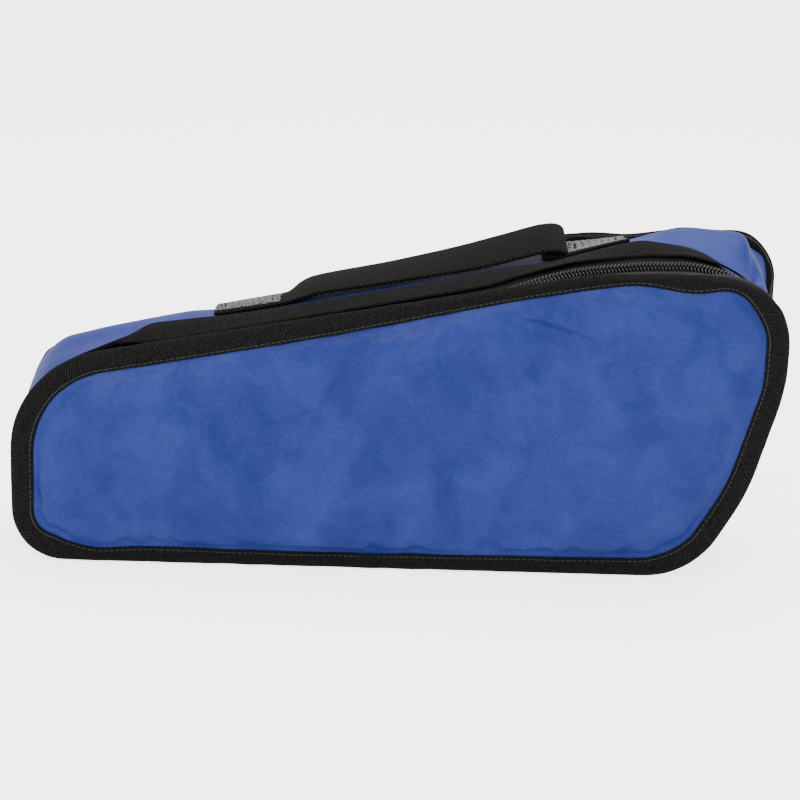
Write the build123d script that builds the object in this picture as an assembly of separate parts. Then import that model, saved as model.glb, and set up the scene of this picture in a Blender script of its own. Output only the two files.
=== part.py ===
"""Telescope carry case: a padded, zipped, wedge-shaped bag that stands on its base.

Frame, in millimetres: +X towards the tall end, -Y towards the opening front panel, +Z up.
The origin is the middle of the base on the surface that the case stands on.
"""
from build123d import *
from math import atan2, cos, degrees, hypot, sin, tan
import os

os.makedirs("parts", exist_ok=True)

# ---- driving dimensions -------------------------------------------------------------
HALF_DEPTH = 42.0           # from the middle of the case to the face of each binding
SHELL = 0.6                 # coated nylon with its seam allowance
FOAM = 2.0                  # flat foam in the two panels
WALL_FOAM = 2.4             # foam in the gusset
LINING = 0.6                # inner cloth of the panels
WALL_LINING = 0.4           # inner cloth of the gusset
TAPE = 0.8                  # thickness of the edge binding tape
BINDING_WIDTH = 12.5        # 25 mm tape folded in half over the seam
COLLAR_WIDTH = 4.6          # the part of the binding that shows from the side
COLLAR_FROM_Z = 32.0        # and the straight part of the sides where it does
COLLAR_TO_Z = 60.0
TRAY_RISE = 2.8             # how far the padding swells past the bound edge
TRAY_MARGIN = 14.0          # the swelling starts this far inside the outline
TRAY_SLOPE = 5.0
CLEAR = 0.3                 # between the front panel and everything it closes on

# outline corners (x, z) and their radii, clockwise from the bottom of the narrow end
FRONT_CORNERS = [(-205.6, 0.3), (-205.6, 110), (101.4, 168.4), (205.9, 171), (205.4, 108),
                 (188.2, 48), (160.2, 0.3)]
FRONT_RADII = [29, 58, 200, 38, 80, 120, 45]
BACK_CORNERS = [(-205.6, 0.3), (-205.6, 108), (139.4, 179.5), (205.9, 172), (205.4, 108),
                (188.2, 48), (160.2, 0.3)]
BACK_RADII = [29, 58, 120, 30, 80, 120, 45]
WALL_INSETS = [5, 1, 1, 5, 5, 5, -0.3]      # how far each gusset wall is inside the back outline
WALL_TIGHTER = 5.0          # the wall's corners are this much tighter than the back outline's
BEYOND = 300.0              # farther than any part of the case

ZIP_SLOT_X = (-156.6, 179.4)  # the zipper's opening in the gusset's top
ZIP_SLOT_FROM_Z = 90.0      # it cuts only the top wall
ZIP_FRONT_GAP = 20.0        # the gusset's top wall stops at this y, and the zipper fills the rest
ZIP_DEPTH = 7.0             # how far the coil lies below the gusset's top
ZIP_Y = -32.5               # middle of the closed coil
COIL_WIDTH = 2.2            # one half
COIL_GAP = 1.4              # room between the halves for the slider's post
COIL_THICK = 1.6
ZIP_TAPE = 0.6
COIL_START_X = -138.6
COIL_END_X = 173.4
EDGE_BINDING_END_X = 171.4
# (y, height over the gusset's top) of the strip that binds the gusset's cut edge, lower edge first
EDGE_BINDING_SECTION = [(-27.7, -5.2), (-27.7, -3.9), (-19.8, 0.9), (-16.5, 0.9), (-16.5, 0.0),
                        (-ZIP_FRONT_GAP, 0.0), (-ZIP_FRONT_GAP, -1.2)]
REAR_TAPE_BEND_Y = -25.5    # where the rear tape turns up to the gusset's cut edge
REAR_TAPE_EDGE = (-3.0, -2.4)   # its underside and its face there

SLIDER_X = -146.6           # where the slider is parked, with the zipper closed
SLIDER_LONG = 10.0
SLIDER_WIDE = 8.0
PLATE_INNER = 1.1           # heights over the coil's middle: the two plates
PLATE_OUTER = 2.1
FLANGE_INNER = 0.6
NOSE_HALF = 2.6             # the plates taper to this half width
NOSE_FROM = 1.5             # from this far behind the middle
CHANNEL_HALF = 3.2          # half the room between the flanges
POST = (0.5, 3.5, 0.5)      # the post between the plates: from, to, half width
BAIL_HALF = (3.5, 1.1)      # half length and half width
BAIL_TOP = 4.7
BAIL_OPENING = (2.4, 3.9)   # half length and top of the opening under the bail
PULL_LONG = 24.0
PULL_WIDE = 5.0
PULL_THICK = 1.0
PULL_AXIS = 3.0             # height of the pull's middle
PULL_BEHIND = 0.5           # how far it reaches behind the slider's middle
NEAR_SLOT = (0.5, 4.8, 1.5)     # from, to, half width of the slot that the bail passes through
FAR_SLOT = (6.5, 2.5, 1.2)      # the same at the far end, measured back from it

WEBBING = 38.0              # width of the handle webbing
WEBBING_THICK = 2.0
HANDLE_Y = 8.0
LEFT_TAB = (-100.6, -60.6)  # where the left end is sewn down
RIGHT_TAB = (77.4, 123.4)
HANDLE_RISE_LEFT = 5.0
HANDLE_RISE_RIGHT = 12.0
HANDLE_MIDDLE = (-18.6, 8.0)    # x and height of the free stretch's middle
LEFT_LIFT = 12.0            # the left end rises over this length
FOLD_LENGTH = 11.0          # how far the slack runs past the right end's start before it folds back
FOLD_DROP = 0.4
FOLD_BACK = 1.0
STRAP_END = 4.0             # the free stretch stops this far short of the right end
JOIN = 0.5                  # gap between the free stretch and each end
LEFT_BEND = 20.0            # bend radii
MIDDLE_BEND = 60.0
FOLD_BEND = 2.6
LEFT_STITCHES = (-99.6, -63.6)
RIGHT_STITCHES = (91.4, 122.4)
STITCH_MARGIN = 4.0
THREAD = 0.8
THREAD_PROUD = 0.4


# ---- geometry helpers ---------------------------------------------------------------
def inset(corners, amounts):
    """Move each side of a clockwise polygon inwards by its own amount."""
    sides = []
    for i, (x0, z0) in enumerate(corners):
        x1, z1 = corners[(i + 1) % len(corners)]
        long = hypot(x1 - x0, z1 - z0)
        ux, uz = (x1 - x0) / long, (z1 - z0) / long
        sides.append((x0 + uz * amounts[i], z0 - ux * amounts[i], ux, uz))
    moved = []
    for i, (x1, z1, ux1, uz1) in enumerate(sides):
        x0, z0, ux0, uz0 = sides[i - 1]
        t = ((x1 - x0) * uz1 - (z1 - z0) * ux1) / (ux0 * uz1 - uz0 * ux1)
        moved.append((x0 + ux0 * t, z0 + uz0 * t))
    return moved


def outline(corners, radii, y, by=0.0):
    """A filleted face in the plane at y, with its edge moved inwards by `by`."""
    points = inset(corners, [by] * len(corners))
    wire = FilletPolyline(*[(x, y, z) for x, z in points], radius=[r - by for r in radii], close=True)
    return Face(Wire(wire.edges()))


def slab(corners, radii, y0, y1, by=0.0):
    """A flat plate of that outline, from y0 to y1."""
    return extrude(outline(corners, radii, y0, by), amount=y1 - y0, dir=(0, 1, 0))


def frustum(corners, radii, y0, by0, y1, by1):
    """A raised centre with sloping sides."""
    return loft([outline(corners, radii, y0, by0), outline(corners, radii, y1, by1)], ruled=True)


def block(x0, x1, y0, y1, z0, z1):
    return Pos((x0 + x1) / 2, (y0 + y1) / 2, (z0 + z1) / 2) * Box(x1 - x0, y1 - y0, z1 - z0)


def ring(corners, radii, y0, y1, outer, inner):
    """A hollow wall between two insets of an outline."""
    return slab(corners, radii, y0, y1, outer) - slab(corners, radii, y0, y1, inner)


# ---- padded panels ------------------------------------------------------------------
def panel(corners, radii):
    """Shell, foam and lining of the panel that faces -Y."""
    face = -HALF_DEPTH
    edge = TAPE
    under = face + TAPE
    behind_shell = under + SHELL
    behind_foam = behind_shell + FOAM
    top = face + TAPE - TRAY_RISE
    far = TRAY_MARGIN + TRAY_SLOPE
    swell = frustum(corners, radii, under, TRAY_MARGIN, top, far)
    hollow = frustum(corners, radii, behind_shell, TRAY_MARGIN, top + SHELL, far)
    shell = slab(corners, radii, under, behind_shell, edge) + swell - hollow
    foam = slab(corners, radii, behind_shell, behind_foam, edge) + hollow
    lining = slab(corners, radii, behind_foam, behind_foam + LINING, edge)
    return shell, foam, lining


PANEL_BACK = -HALF_DEPTH + TAPE + SHELL + FOAM + LINING     # the lining's inner face


def binding(corners, radii):
    """Tape folded over the seam: a wide leg on the face, the fold, and a collar at the sides."""
    face = -HALF_DEPTH
    leg = ring(corners, radii, face, face + TAPE, 0, BINDING_WIDTH)
    fold = ring(corners, radii, face, PANEL_BACK, 0, TAPE)
    collar = ring(corners, radii, PANEL_BACK, PANEL_BACK + TAPE, 0, COLLAR_WIDTH)
    collar = collar & block(-BEYOND, BEYOND, -BEYOND, BEYOND, COLLAR_FROM_Z, COLLAR_TO_Z)
    return leg + fold + collar


front_shell, front_foam, front_lining = panel(FRONT_CORNERS, FRONT_RADII)
front_binding = binding(FRONT_CORNERS, FRONT_RADII)
back_shell, back_foam, back_lining = [mirror(p, about=Plane.XZ) for p in panel(BACK_CORNERS, BACK_RADII)]
rear_binding = mirror(binding(BACK_CORNERS, BACK_RADII), about=Plane.XZ)

# ---- gusset: one padded wall all round, cut away along the top for the zipper --------
wall = inset(BACK_CORNERS, WALL_INSETS)
wall_radii = [r - WALL_TIGHTER for r in BACK_RADII]
wall_front = PANEL_BACK + CLEAR
wall_back = -PANEL_BACK
(wx0, wz0), (wx1, wz1) = wall[1], wall[2]
SLOPE = atan2(wz1 - wz0, wx1 - wx0)
zip_slot = block(ZIP_SLOT_X[0], ZIP_SLOT_X[1], -BEYOND, -ZIP_FRONT_GAP, ZIP_SLOT_FROM_Z, BEYOND)


def wall_layer(outer, inner):
    return ring(wall, wall_radii, wall_front, wall_back, outer, inner) - zip_slot


gusset_shell = wall_layer(0, SHELL)
gusset_foam = wall_layer(SHELL, SHELL + WALL_FOAM)
gusset_lining = wall_layer(SHELL + WALL_FOAM, SHELL + WALL_FOAM + WALL_LINING)
WALL = SHELL + WALL_FOAM + WALL_LINING


# ---- strips that follow the top of the gusset ---------------------------------------
def top_z(x):
    """Height of the gusset's straight top at x."""
    return wz0 + (x - wx0) * tan(SLOPE)


def follow(points, radii, section):
    """Sweep a (y, height) section along (x, z) points joined by arcs."""
    (x0, z0), (x1, z1) = points[0], points[1]
    long = hypot(x1 - x0, z1 - z0)
    start = Plane(origin=(x0, 0, z0), x_dir=(0, 1, 0), z_dir=((x1 - x0) / long, 0, (z1 - z0) / long))
    path = FilletPolyline(*[(x, 0, z) for x, z in points], radius=radii)
    face = start * make_face(Polyline(*section, close=True))
    return sweep(face, path=Wire(path.edges()))


def strip(x0, x1, section):
    """Sweep a (y, height above the gusset's top) section along the top, from x0 to x1."""
    (crown_x, crown_z), (corner_x, corner_z) = wall[2], wall[3]
    end_z = crown_z + (x1 - crown_x) * (corner_z - crown_z) / (corner_x - crown_x)
    points = [(x0, top_z(x0)), (crown_x, crown_z), (x1, end_z)]
    return follow(points, [wall_radii[2]], section)


def bar(y0, y1, n0, n1):
    return [(y0, n0), (y1, n0), (y1, n1), (y0, n1)]


zipper_edge_binding = strip(ZIP_SLOT_X[0], EDGE_BINDING_END_X, EDGE_BINDING_SECTION)
front_coil_y = (ZIP_Y - COIL_GAP / 2 - COIL_WIDTH, ZIP_Y - COIL_GAP / 2)
rear_coil_y = (ZIP_Y + COIL_GAP / 2, ZIP_Y + COIL_GAP / 2 + COIL_WIDTH)
coil_n = (-ZIP_DEPTH - COIL_THICK / 2, -ZIP_DEPTH + COIL_THICK / 2)
tape_n = (-ZIP_DEPTH - ZIP_TAPE / 2, -ZIP_DEPTH + ZIP_TAPE / 2)
zipper_front_coil = strip(COIL_START_X, COIL_END_X, bar(*front_coil_y, *coil_n))
zipper_rear_coil = strip(COIL_START_X, COIL_END_X, bar(*rear_coil_y, *coil_n))
zipper_front_tape = strip(COIL_START_X, COIL_END_X, bar(PANEL_BACK, front_coil_y[0], *tape_n)) - front_binding
zipper_rear_tape = strip(COIL_START_X, COIL_END_X, [
    (rear_coil_y[1], tape_n[0]), (REAR_TAPE_BEND_Y, tape_n[0]), (-ZIP_FRONT_GAP, REAR_TAPE_EDGE[0]),
    (-ZIP_FRONT_GAP, REAR_TAPE_EDGE[1]), (REAR_TAPE_BEND_Y, tape_n[1]), (rear_coil_y[1], tape_n[1])])


# ---- slider: body, bail and pull, in a frame that lies on the coil -------------------
def on_coil(x):
    """A frame on the middle of the coil: its x runs up the slope and its z stands off the top."""
    z = top_z(x) - ZIP_DEPTH / cos(SLOPE)
    return Plane(origin=(x, ZIP_Y, z), x_dir=(cos(SLOPE), 0, sin(SLOPE)), z_dir=(-sin(SLOPE), 0, cos(SLOPE)))


half_long = SLIDER_LONG / 2
half_wide = SLIDER_WIDE / 2
slider_at = on_coil(SLIDER_X)
plan = make_face(Polyline((-half_long, -NOSE_HALF), (-NOSE_FROM, -half_wide), (half_long, -half_wide),
                          (half_long, half_wide), (-NOSE_FROM, half_wide), (-half_long, NOSE_HALF), close=True))
slider_local = Pos(0, 0, -PLATE_OUTER) * extrude(plan, amount=2 * PLATE_OUTER, dir=(0, 0, 1))
slider_local -= block(-SLIDER_LONG, SLIDER_LONG, -CHANNEL_HALF, CHANNEL_HALF, -PLATE_INNER, PLATE_INNER)
slider_local -= block(-SLIDER_LONG, SLIDER_LONG, -SLIDER_WIDE, SLIDER_WIDE, -FLANGE_INNER, FLANGE_INNER)
slider_local += block(POST[0], POST[1], -POST[2], POST[2], -PLATE_INNER, PLATE_INNER)
slider_body = slider_at * slider_local

bail_local = block(-BAIL_HALF[0], BAIL_HALF[0], -BAIL_HALF[1], BAIL_HALF[1], PLATE_OUTER, BAIL_TOP)
bail_local -= block(-BAIL_OPENING[0], BAIL_OPENING[0], -SLIDER_WIDE, SLIDER_WIDE, PLATE_OUTER, BAIL_OPENING[1])
slider_bail = slider_at * bail_local

pull_low = PULL_AXIS - PULL_THICK / 2
pull_high = PULL_AXIS + PULL_THICK / 2
pull_local = block(-PULL_BEHIND, PULL_LONG - PULL_BEHIND, -PULL_WIDE / 2, PULL_WIDE / 2, pull_low, pull_high)
pull_local -= block(NEAR_SLOT[0], NEAR_SLOT[1], -NEAR_SLOT[2], NEAR_SLOT[2], 0, 2 * PULL_AXIS)
pull_local -= block(PULL_LONG - FAR_SLOT[0], PULL_LONG - FAR_SLOT[1], -FAR_SLOT[2], FAR_SLOT[2],
                    0, 2 * PULL_AXIS)
slider_pull = slider_at * pull_local


# ---- handle: webbing sewn down at both ends, with its slack folded at the right -------
def above_top(x, height):
    """The (x, z) of a point that stands off the gusset's top."""
    return x - height * sin(SLOPE), top_z(x) + height * cos(SLOPE)


def webbing(points, radii):
    """Webbing whose middle follows (x, height above the gusset's top) points."""
    half = WEBBING_THICK / 2
    section = bar(HANDLE_Y - WEBBING / 2, HANDLE_Y + WEBBING / 2, -half, half)
    return follow([above_top(x, height) for x, height in points], radii, section)


lie = WEBBING_THICK / 2
left_rise_x = LEFT_TAB[1] + LEFT_LIFT
strap_end_x = RIGHT_TAB[0] - STRAP_END
handle_left_end = webbing([(LEFT_TAB[0], lie), (LEFT_TAB[1], lie), (left_rise_x, HANDLE_RISE_LEFT)],
                          [LEFT_BEND])
handle_strap = webbing([(left_rise_x + JOIN, HANDLE_RISE_LEFT), HANDLE_MIDDLE,
                        (strap_end_x, HANDLE_RISE_RIGHT)], [MIDDLE_BEND])
handle_right_end = webbing([(strap_end_x + JOIN, HANDLE_RISE_RIGHT),
                            (RIGHT_TAB[0] + FOLD_LENGTH, HANDLE_RISE_RIGHT - FOLD_DROP),
                            (RIGHT_TAB[0] - FOLD_BACK, lie), (RIGHT_TAB[1], lie)], [FOLD_BEND, FOLD_BEND])


def box_stitch(x0, x1):
    """A sewn square with a cross in it, standing a thread's height off the webbing."""
    long = (x1 - x0) / cos(SLOPE) - 2 * STITCH_MARGIN
    wide = WEBBING - 2 * STITCH_MARGIN
    x, z = above_top((x0 + x1) / 2, WEBBING_THICK + THREAD_PROUD / 2)
    at = Plane(origin=(x, HANDLE_Y, z), x_dir=(cos(SLOPE), 0, sin(SLOPE)),
               z_dir=(-sin(SLOPE), 0, cos(SLOPE)))
    frame = Box(long + THREAD, wide + THREAD, THREAD_PROUD) - Box(long - THREAD, wide - THREAD, THREAD)
    turn = degrees(atan2(wide, long))
    cross = [Rot(0, 0, way * turn) * Box(hypot(long, wide) - THREAD, THREAD, THREAD_PROUD) for way in (1, -1)]
    return at * (frame + cross)


handle_left_stitching = box_stitch(*LEFT_STITCHES)
handle_right_stitching = box_stitch(*RIGHT_STITCHES)

# ---- write each piece ---------------------------------------------------------------
pieces = {
    "front_panel_shell": front_shell,
    "front_panel_foam": front_foam,
    "front_panel_lining": front_lining,
    "front_binding": front_binding,
    "back_panel_shell": back_shell,
    "back_panel_foam": back_foam,
    "back_panel_lining": back_lining,
    "rear_binding": rear_binding,
    "gusset_shell": gusset_shell,
    "gusset_foam": gusset_foam,
    "gusset_lining": gusset_lining,
    "zipper_edge_binding": zipper_edge_binding,
    "zipper_front_tape": zipper_front_tape,
    "zipper_rear_tape": zipper_rear_tape,
    "zipper_front_coil": zipper_front_coil,
    "zipper_rear_coil": zipper_rear_coil,
    "slider_body": slider_body,
    "slider_bail": slider_bail,
    "slider_pull": slider_pull,
    "handle_strap": handle_strap,
    "handle_left_end": handle_left_end,
    "handle_right_end": handle_right_end,
    "handle_left_stitching": handle_left_stitching,
    "handle_right_stitching": handle_right_stitching,
}
for name, shape in pieces.items():
    export_step(shape, f"parts/{name}.step")
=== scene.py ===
import math
import random

import bmesh
import bpy
import numpy as np
from mathutils import Matrix, Vector, geometry, noise


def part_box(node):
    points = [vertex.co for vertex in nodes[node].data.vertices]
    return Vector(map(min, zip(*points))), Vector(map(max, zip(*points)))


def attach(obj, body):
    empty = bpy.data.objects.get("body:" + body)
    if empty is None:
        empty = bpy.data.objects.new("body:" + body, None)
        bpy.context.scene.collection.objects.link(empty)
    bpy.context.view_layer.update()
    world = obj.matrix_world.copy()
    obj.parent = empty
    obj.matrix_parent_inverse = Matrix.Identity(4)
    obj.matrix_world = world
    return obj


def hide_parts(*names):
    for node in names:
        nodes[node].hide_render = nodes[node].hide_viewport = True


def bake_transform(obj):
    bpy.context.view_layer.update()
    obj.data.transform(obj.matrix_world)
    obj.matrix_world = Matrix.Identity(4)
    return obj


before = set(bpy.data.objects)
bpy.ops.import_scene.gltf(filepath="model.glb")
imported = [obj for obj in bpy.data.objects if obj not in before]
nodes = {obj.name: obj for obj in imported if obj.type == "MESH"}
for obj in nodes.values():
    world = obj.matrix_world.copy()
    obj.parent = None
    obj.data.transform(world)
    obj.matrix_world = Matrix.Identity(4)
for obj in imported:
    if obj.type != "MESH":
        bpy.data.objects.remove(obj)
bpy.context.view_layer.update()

scene = bpy.context.scene


# Camera. It stands in front of the case and a little above it, far back with a long lens,
# and leans a touch to one side, so the case's tall end sits slightly low.
CAMERA_RISE = math.radians(18)
CAMERA_ROLL = math.radians(1.6)
CAMERA_FAR = 1.59
AIM = Vector((0.0014, -0.004, 0.08435))
back_along = Vector((0, -math.cos(CAMERA_RISE), math.sin(CAMERA_RISE)))
camera_data = bpy.data.cameras.new("camera")
camera_data.lens = 131.9
camera_data.sensor_width = 36
camera = bpy.data.objects.new("camera", camera_data)
scene.collection.objects.link(camera)
turn = Matrix.Rotation(math.pi / 2 - CAMERA_RISE, 4, "X") @ Matrix.Rotation(CAMERA_ROLL, 4, "Z")
camera.matrix_world = Matrix.Translation(AIM + back_along * CAMERA_FAR) @ turn
scene.camera = camera


# Floor and studio light. A plain pale sheet under white light all round, one broad soft
# box above and in front, and a second overhead that brightens the top of the case.
world = bpy.data.worlds.new("studio")
world.use_nodes = True
world.node_tree.nodes["Background"].inputs["Color"].default_value = (1, 1, 1, 1)
world.node_tree.nodes["Background"].inputs["Strength"].default_value = 1.0
scene.world = world


def add(tree, kind, sockets=(), **settings):
    """A shader node with its settings, its socket values, and its links where a value is a socket."""
    node = tree.nodes.new(kind)
    for name, value in settings.items():
        setattr(node, name, value)
    for name, value in dict(sockets).items():
        if isinstance(value, bpy.types.NodeSocket):
            tree.links.new(value, node.inputs[name])
        else:
            node.inputs[name].default_value = value
    return node


def finish_named(name, colour, roughness, **sockets):
    """A material with its main shader, ready for the nodes that vary it."""
    material = bpy.data.materials.new(name)
    material.use_nodes = True
    skin = material.node_tree.nodes["Principled BSDF"]
    skin.inputs["Base Color"].default_value = (*colour, 1)
    skin.inputs["Roughness"].default_value = roughness
    for socket, value in sockets.items():
        skin.inputs[socket.replace("_", " ")].default_value = value
    return material, material.node_tree, skin


def activate(piece):
    """Selects one piece alone, for the operators that follow."""
    bpy.ops.object.select_all(action="DESELECT")
    piece.select_set(True)
    bpy.context.view_layer.objects.active = piece


FLOOR_GLOW = 0.25           # the little light that the sheet throws back up at the case
FLOOR_PALER = 2.6           # how much brighter than that it is seen to be
bpy.ops.object.select_all(action="DESELECT")
bpy.ops.mesh.primitive_plane_add(size=8, location=(0, 0, -0.0004))
floor = bpy.context.object
floor.name = "floor"
floor_material, floor_tree, floor_skin = finish_named("pale_floor", (0.90, 0.90, 0.90), 0.9,
                                                      Emission_Color=(1, 1, 1, 1))
seen = add(floor_tree, "ShaderNodeLightPath").outputs["Is Camera Ray"]
lit = add(floor_tree, "ShaderNodeMath", {0: seen, 1: FLOOR_PALER, 2: FLOOR_GLOW}, operation="MULTIPLY_ADD")
floor_tree.links.new(lit.outputs[0], floor_skin.inputs["Emission Strength"])
floor.data.materials.append(floor_material)


def soft_box(name, place, size, power):
    """A broad white light that faces the case."""
    light = bpy.data.lights.new(name, "AREA")
    light.shape = "RECTANGLE"
    light.size, light.size_y = size
    light.energy = power
    box = bpy.data.objects.new(name, light)
    box.location = place
    box.rotation_euler = (Vector(place) - AIM).to_track_quat("Z", "Y").to_euler()
    scene.collection.objects.link(box)


soft_box("front_box", (-0.5, -1.5, 1.6), (1.6, 1.2), 35)
soft_box("top_box", (0.3, 0.5, 1.6), (1.6, 1.0), 30)


# Front panel. Coated nylon over thin foam, cut to the case's wedge outline and held down
# all round by its binding. The cloth is a little larger than the foam, so it ripples.
SEAM_INSET = 0.0055
CLOTH_STEP = 0.0032
CLOTH_TALL = 0.2            # a little taller than the tallest panel
CLOTH_EXTRA = 0.030         # how much larger the cloth is than its foam
CLOTH_HOLD = 0.02           # how firmly it keeps to the foam away from the binding
PANEL_FACE = 0.0413         # how far the cloth lies from the case's middle at the binding
PANEL_BACK = 0.0387
PAD_RISE = 0.0038
PAD_SLOPE = 0.011           # how far in from the tape most of that rise takes
FOLD_START = 0.008          # and how far in a fold is at its full height
SEWN_FLAT = 0.0006          # how far in from the tape's sewn edge the cloth still lies flat
PUCKER_CAP = 0.0045         # how far the cloth may move as it ripples
PUCKER_SLOPE = 0.4          # and how much of its distance from the tape it may move
CLOTH_TICKS = 20
# how much of the tape shows on the front, along the top and along the base
FRONT_WIDTH_TOP = [(-0.170, 0.0124), (-0.046, 0.0116), (0.058, 0.0082), (0.099, 0.0080), (0.126, 0.0060),
                   (0.140, 0.0085), (0.151, 0.0109), (0.162, 0.0103), (0.172, 0.0081), (0.183, 0.0092),
                   (0.196, 0.0125)]
FRONT_WIDTH_BASE = [(-0.196, 0.0125), (-0.185, 0.0150), (-0.163, 0.0080), (-0.140, 0.0098), (-0.060, 0.0092),
                    (0.060, 0.0100), (0.130, 0.0108), (0.150, 0.0125)]
FULL_WIDTH = 0.0126
BELLY = 0.0038              # how much fuller the front hangs low down
BELLY_HEIGHT = 0.040
BELLY_SPREAD = 0.022
# its standing folds: the ends of each one's line (x, z), its half width and its height, all in mm
FRONT_CREASES = [((58, 144), (104, 130), 4.0, -2.3), ((56, 149), (102, 135), 4.0, 1.3),
                 ((117, 157), (116, 128), 4.5, 1.4), ((156, 154), (191, 106), 12.0, -2.6),
                 ((-173, 19), (-152, 11), 3.5, 2.2), ((-109, 18), (-85, 11), 3.5, 2.2),
                 ((-55, 20), (-18, 11), 4.0, 2.4), ((-131, 110), (-117, 78), 8.0, 0.9),
                 ((11, 128), (39, 88), 9.0, 1.0), ((-36, 119), (-51, 74), 8.0, 0.9),
                 ((112, 112), (130, 62), 9.0, 1.0), ((-104, 83), (-36, 99), 8.0, -0.8)]


def smooth(a, b, x):
    """0 up to a and 1 from b on, with an ease between them."""
    t = min(1, max(0, (x - a) / (b - a)))
    return t * t * (3 - 2 * t)


def bump(centre, width, x):
    """A rounded rise of height 1."""
    return math.exp(-((x - centre) / width) ** 2)


def run(points, x):
    """The value at x of a smooth curve through a few (place, value) points."""
    if x <= points[0][0]:
        return points[0][1]
    if x >= points[-1][0]:
        return points[-1][1]
    i = next(k for k in range(1, len(points)) if x <= points[k][0])
    (x0, v0), (x1, v1) = points[i - 1], points[i]
    xa, va = points[max(i - 2, 0)]
    xb, vb = points[min(i + 1, len(points) - 1)]
    wide = x1 - x0
    t = (x - x0) / wide
    lean0 = (v1 - va) / (x1 - xa) * wide
    lean1 = (vb - v0) / (xb - x0) * wide
    return (v0 * (1 + 2 * t) * (1 - t) ** 2 + v1 * t * t * (3 - 2 * t)
            + lean0 * t * (1 - t) ** 2 - lean1 * t * t * (1 - t))


def wrinkle(point, scale, seed=0.0):
    """Smooth noise from -1 to 1, the same on every run."""
    return noise.noise(Vector((point[0] / scale + seed, point[1] / scale, point[2] / scale - seed)))


def rim(node, step, start_x=-0.018):
    """A CAD piece's outline seen from the front: even steps of (x, z), each with its outward normal.
    It starts on the base at start_x, where the binding's ends lap."""
    flat = sorted({(round(v.co.x, 6), round(v.co.z, 6)) for v in nodes[node].data.vertices})
    loop = [Vector(flat[i]) for i in geometry.convex_hull_2d([Vector(p) for p in flat])]
    if sum(a.x * b.y - b.x * a.y for a, b in zip(loop, loop[1:] + loop[:1])) < 0:
        loop.reverse()
    low = min(p.y for p in loop) + 1e-4
    first = next(i for i, p in enumerate(loop)
                 if p.y < low and loop[i - 1].y < low and loop[i - 1].x <= start_x <= p.x)
    loop = [Vector((start_x, low - 1e-4))] + loop[first:] + loop[:first]
    lengths = [(b - a).length for a, b in zip(loop, loop[1:] + loop[:1])]
    count = round(sum(lengths) / step)
    points = []
    i, gone = 0, 0.0
    for k in range(count):
        at = sum(lengths) * k / count
        while gone + lengths[i] < at:
            gone += lengths[i]
            i += 1
        points.append(loop[i].lerp(loop[(i + 1) % len(loop)], (at - gone) / lengths[i]))
    ways = [(points[(k + 1) % count] - points[k - 1]).normalized() for k in range(count)]
    return [(p, Vector((way.y, -way.x))) for p, way in zip(points, ways)]


def inside_by(points, outline):
    """How far each (x, z) point lies inside a convex outline, and which step of it is nearest."""
    corners = np.array([q for q, _ in outline])
    outs = np.array([out for _, out in outline])
    places = np.array(points)
    gaps = (corners * outs).sum(1) - places @ outs.T
    squares = (corners ** 2).sum(1) - 2 * places @ corners.T
    return gaps.min(1), squares.argmin(1)


def evened(values, reach):
    """A closed list of values, each averaged with its neighbours."""
    count = len(values)
    return [sum(values[(k + i) % count] for i in range(-reach, reach + 1)) / (2 * reach + 1)
            for k in range(count)]


def front_width(p, out):
    """How much of the front tape shows at a point of the outline."""
    if out.y > 0.6:
        return run(FRONT_WIDTH_TOP, p.x)
    if out.y < -0.6:
        return run(FRONT_WIDTH_BASE, p.x) + 0.0006 * wrinkle((p.x, 0, 0), 0.02)
    return FULL_WIDTH


def rear_width(p, out):
    return FULL_WIDTH


def refine(piece, levels=1, angle=35):
    """Applied subdivision, then smooth shading up to an angle."""
    activate(piece)
    if levels:
        soften = piece.modifiers.new("soften", "SUBSURF")
        soften.levels = soften.render_levels = levels
        bpy.ops.object.modifier_apply(modifier=soften.name)
    bpy.ops.object.shade_smooth_by_angle(angle=math.radians(angle))


def outwards(mesh):
    """Turns a closed mesh's faces outwards."""
    work = bmesh.new()
    work.from_mesh(mesh)
    bmesh.ops.recalc_face_normals(work, faces=work.faces)
    work.to_mesh(mesh)
    work.free()


def front_creases(x, z):
    """Height of the front's standing folds, each a tapered ridge or valley along a line in mm."""
    here = Vector((x, z)) * 1000
    height = 0.0
    for start, end, half, high in FRONT_CREASES:
        way = Vector(end) - Vector(start)
        t = (here - Vector(start)).dot(way) / way.length_squared
        if -0.3 < t < 1.3:
            off = (here - Vector(start) - way * t).length
            height += high * math.exp(-(off / half) ** 2) * smooth(-0.3, 0.25, t) * (1 - smooth(0.7, 1.3, t))
    return height / 1000 + BELLY * bump(BELLY_HEIGHT, BELLY_SPREAD, z) * (1 - smooth(0.08, 0.17, x))


def no_creases(x, z):
    return 0.0


def flat_cut(outline, inset, step):
    """A flat piece of cloth some way inside an outline: its points, its triangles and their depths."""
    edge = [p - out * inset for p, out in outline]
    row_step = step * math.sqrt(3) / 2
    half_long = max(p.x for p in edge) + step
    grid = [(x + (r % 2) * step / 2, r * row_step) for r in range(int(CLOTH_TALL / row_step))
            for x in np.arange(-half_long, half_long, step)]
    kept = inside_by(grid, outline)[0] > inset + step * 0.6
    points = edge + [Vector(p) for p, keep in zip(grid, kept) if keep]
    ring = [(k, (k + 1) % len(edge)) for k in range(len(edge))]
    flat, _, faces, _, _, _ = geometry.delaunay_2d_cdt(points, ring, [], 1, 1e-7)
    return flat, faces, *inside_by(flat, outline)


def piece_from(name, points, faces):
    """A new piece, from its points and its faces."""
    mesh = bpy.data.meshes.new(name)
    mesh.from_pydata(points, [], faces)
    piece = bpy.data.objects.new(name, mesh)
    scene.collection.objects.link(piece)
    return piece


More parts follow.
